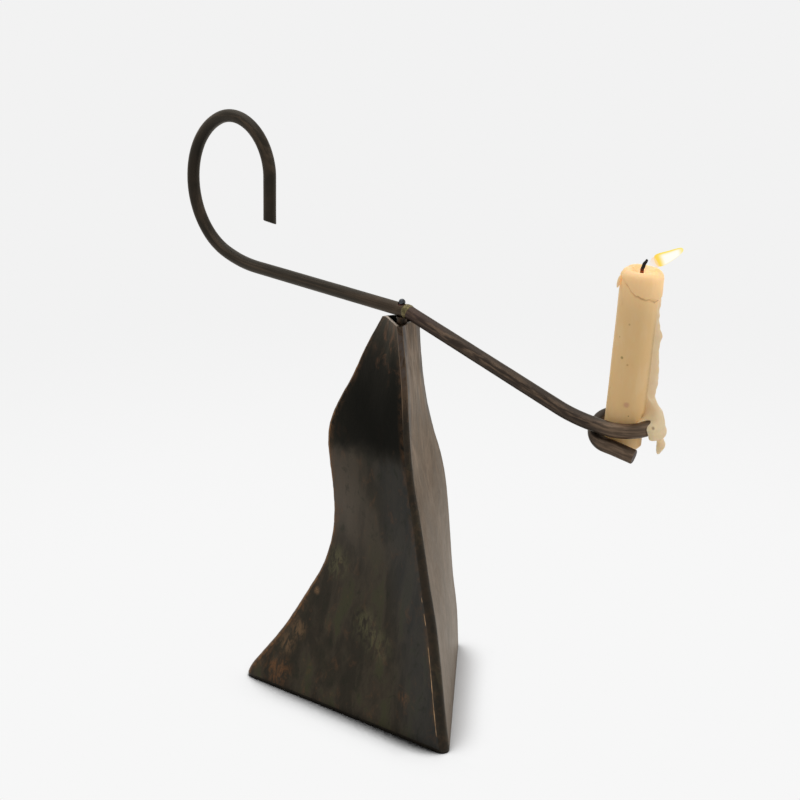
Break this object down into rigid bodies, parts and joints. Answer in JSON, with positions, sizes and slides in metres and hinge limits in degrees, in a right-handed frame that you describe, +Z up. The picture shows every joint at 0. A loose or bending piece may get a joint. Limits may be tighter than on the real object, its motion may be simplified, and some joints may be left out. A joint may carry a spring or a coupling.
{
  "type": "counterbalanced candle holder",
  "caption": "Free-standing triangular sheet-steel tower with a swinging arm on its tip: a hooked tail balances a candle held in a wound ring.",
  "frame": {"origin": "on the tabletop, straight under the axis of the pivot pin", "axes": "+Z up; at rest the candle end of the arm points along +X and the hook along -X; the candle ring is centred on the +Y side of the bar"},
  "size_m": [0.3632, 0.1252, 0.3562],
  "materials": {
    "dark_steel": "satin, blackened",
    "worn_steel": "satin, brushed and stained",
    "edge_steel": "ground, heat-stained",
    "bar_steel": "satin mill scale",
    "bright_steel": "polished, darkened",
    "braze": "dull",
    "copper_braze": "oxidised red-brown",
    "wax": "satin, translucent",
    "run_wax": "satin, translucent",
    "charred_wick": "matt, charred"
  },
  "bodies": {
    "base": {"face_left": "dark_steel", "face_right": "worn_steel", "face_back": "dark_steel", "seam_front": "edge_steel", "seam_left": "edge_steel", "seam_rear": "edge_steel", "base_plate": "dark_steel", "socket_tube": "dark_steel", "socket_tacks": "edge_steel"},
    "washer": {"thrust_washer": "bright_steel"},
    "arm": {"hook_bar": "bar_steel", "candle_bar": "bar_steel", "bar_braze": "braze", "pivot_pin": "bright_steel", "pin_braze": "copper_braze"},
    "candle": {"candle_stick": "wax", "wick": "charred_wick", "wax_run": "run_wax", "rim_drip": "run_wax"}
  },
  "joints": [
    {"name": "arm_lift", "type": "slide", "parent": "base", "child": "washer", "axis": [0, 0, 1], "range_m": [0, 0.035]},
    {"name": "arm_swivel", "type": "hinge", "parent": "washer", "child": "arm", "pos_m": [0, 0, 0.25], "axis": [0, 0, 1], "continuous": true},
    {"name": "candle_lift", "type": "slide", "parent": "arm", "child": "candle", "axis": [0.0698, 0, 0.9976], "range_m": [0, 0.09]}
  ]
}
